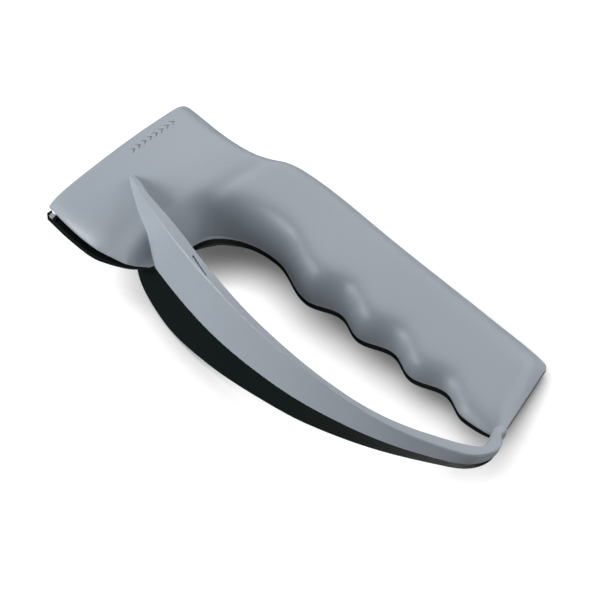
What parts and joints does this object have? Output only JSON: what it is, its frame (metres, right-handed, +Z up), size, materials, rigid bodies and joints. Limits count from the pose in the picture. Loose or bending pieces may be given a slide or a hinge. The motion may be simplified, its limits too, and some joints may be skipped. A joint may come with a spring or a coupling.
{
  "type": "hand-held pull-through knife sharpener",
  "caption": "Hand-held pull-through knife sharpener: grey and black clamshell body with finger grooves, a full hand guard and a V of carbide cutters in the head's slot.",
  "frame": {"origin": "on the parting plane of the two mouldings, at the head's front lower corner, where the slot edge meets the front edge", "axes": "+X runs from the head to the butt end of the grip, +Y from the slot edge towards the palm edge, +Z points up out of the grey moulding, square to the parting plane"},
  "size_m": [0.1588, 0.0638, 0.0358],
  "materials": {
    "grey_plastic": "satin blue-grey moulded plastic",
    "black_plastic": "satin black moulded plastic",
    "holder_plastic": "matt black plastic",
    "carbide": "ground tungsten carbide",
    "screw_steel": "zinc-plated steel"
  },
  "bodies": {
    "root": {"upper_shell": "grey_plastic", "lower_shell": "black_plastic", "cutter_holder": "holder_plastic", "cutter_upper": "carbide", "cutter_lower": "carbide", "holder_screw": "screw_steel", "shell_screw_1": "screw_steel", "shell_screw_2": "screw_steel", "shell_screw_3": "screw_steel", "shell_screw_4": "screw_steel"}
  },
  "joints": []
}
